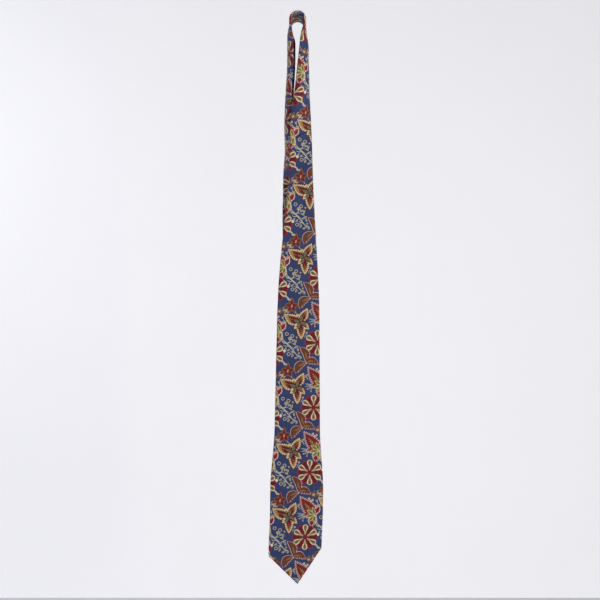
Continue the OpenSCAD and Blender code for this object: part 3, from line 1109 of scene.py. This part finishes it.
# ---- Keeper loop ----
# A narrow tube of the printed silk, pressed flat and tacked down at both ends across
# the back of the blade. The tail is slipped through it when the tie is worn.
KEEPER_AT, KEEPER_L, KEEPER_H = -746.0, 56.0, 14.0
KEEPER_T, KEEPER_ROOM = 1.2, 5.4


def keeper_rise(u):
    return KEEPER_ROOM * ease((KEEPER_L / 2 - abs(u) - 8) / 12)


def keeper_lay(a, b):
    u = KEEPER_L * (b - 0.5)
    round_r = KEEPER_T / 2
    flat_part = KEEPER_H / 2 - round_r
    girth = 4 * flat_part + 2 * math.pi * round_r
    p = (a - 0.5) * girth
    width, out = folded(p, flat_part, round_r, 0)
    if abs(p) <= flat_part:
        out = round_r
    return (
        on_tie(KEEPER_AT + width, u, BACK - 0.75 - keeper_rise(u) - out),
        Vector((u - 140, p)),
    )


keeper = ribbon("keeper_tube", 44, 56, keeper_lay)
thicken(keeper, SILK_T, 1)
declare(keeper, silk_print, "printed_silk", "keeper_loop")
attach(keeper, "front_blade")
keeper_tacks = stitches(
    "keeper_tack_threads",
    [
        (KEEPER_AT + 5 * level, side * (KEEPER_L / 2 - 4) + 0.45 * k, BACK - 1.5, 2.6, 0)
        for side in (-1, 1)
        for level in (-1, 1)
        for k in range(-5, 6)
    ],
    "keeper_tacks",
)
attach(keeper_tacks, "front_blade")


# ---- Maker's label ----
# A blank label of dark woven satin with a fine gold border, tacked at its corners.
LABEL_AT, LABEL_W, LABEL_H = -700.0, 46.0, 24.0

label_satin, tree = new_material("woven_label_satin")
place = add(tree, "UVMap", uv_map="cut")[0]
place_mm = add(tree, "VectorMath", {0: place, "Scale": 1000.0}, operation="SCALE")[0]
axes = add(tree, "SeparateXYZ", {0: place_mm})
border = []
for axis, half in (("X", LABEL_W / 2), ("Y", LABEL_H / 2)):
    away = add(tree, "Math", {0: axes[axis]}, operation="ABSOLUTE")
    border.append(add(tree, "Math", {0: away[0], 1: half}, operation="SUBTRACT")[0])
inset = add(tree, "Math", {0: border[0], 1: border[1]}, operation="MAXIMUM")
line = add(tree, "Math", {0: inset[0], 1: -2.4, 2: 0.45}, operation="COMPARE")
rows = add(tree, "TexWave", {"Vector": place_mm, "Scale": 0.9}, bands_direction="Y")
tone = add(
    tree,
    "Mix",
    {0: rows["Fac"], 6: linear("#0f1326"), 7: linear("#1b2140")},
    data_type="RGBA",
)
bordered = add(tree, "Mix", {0: line[0], 6: tone[2], 7: linear("#a8864a")}, data_type="RGBA")
ridges = add(tree, "Bump", {"Height": rows["Fac"], "Strength": 0.3, "Distance": 0.06 * MM})
finish_surface(
    tree,
    {"Base Color": bordered[2], "Roughness": 0.4, "Normal": ridges[0], "Sheen Weight": 0.2},
)


def label_lay(a, b):
    u, v = LABEL_W * (a - 0.5), LABEL_H * (b - 0.5)
    lift = 0.5 * (1 - (2 * a - 1) ** 8) * (1 - (2 * b - 1) ** 8)
    return on_tie(LABEL_AT + v, -u, BACK - 0.35 - lift), Vector((u, v))


maker_label = ribbon("maker_label_satin", 46, 24, label_lay)
thicken(maker_label, 0.3, 0)
declare(maker_label, label_satin, "label_satin", "maker_label")
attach(maker_label, "front_blade")
maker_tacks = stitches(
    "maker_label_threads",
    [
        (LABEL_AT + sz * 10.5, su * 19.0 + 0.9 * k, BACK - 0.8, 3.4, 20)
        for su in (-1, 1)
        for sz in (-1, 1)
        for k in (-2, -1, 0, 1, 2)
    ],
    "maker_label_stitches",
)
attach(maker_tacks, "front_blade")


# ---- Care label ----
# A tab of white cotton tape, left blank, that hangs from one line of stitches.
CARE_AT, CARE_W, CARE_L = -610.0, 17.0, 34.0

care_tape, tree = new_material("white_cotton_tape")
place = add(tree, "UVMap", uv_map="cut")[0]
place_mm = add(tree, "VectorMath", {0: place, "Scale": 1000.0}, operation="SCALE")[0]
warp = add(tree, "TexWave", {"Vector": place_mm, "Scale": 0.8}, bands_direction="X")
weft = add(tree, "TexWave", {"Vector": place_mm, "Scale": 0.8}, bands_direction="Y")
cross = add(tree, "Math", {0: warp["Fac"], 1: weft["Fac"]}, operation="MULTIPLY")
tone = add(
    tree,
    "Mix",
    {0: cross[0], 6: linear("#dcd9d0"), 7: linear("#f4f2ec")},
    data_type="RGBA",
)
grain = add(tree, "Bump", {"Height": cross[0], "Strength": 0.4, "Distance": 0.08 * MM})
finish_surface(tree, {"Base Color": tone[2], "Roughness": 0.8, "Normal": grain[0]})


def care_lay(a, b):
    u, down = CARE_W * (a - 0.5), CARE_L * b
    curl_out = 0.9 * b**2 + 0.35 * math.sin(2.2 * math.pi * b) * b
    s = CARE_AT - down * 0.995
    flat = on_tie(CARE_AT, -u, BACK - 0.95 - curl_out)
    return Vector((flat.x, flat.y, s * MM)), Vector((u, -down))


care_label = ribbon("care_label_tape", 17, 34, care_lay)
thicken(care_label, 0.25, 0)
declare(care_label, care_tape, "care_tape", "care_label")
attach(care_label, "care_tab")
care_tacks = stitches(
    "care_label_threads",
    [(CARE_AT + 0.7, 3.0 * k, BACK - 0.75, 2.5, 0) for k in range(-2, 3)],
    "care_label_stitches",
    lengthwise=False,
)
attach(care_tacks, "front_blade")
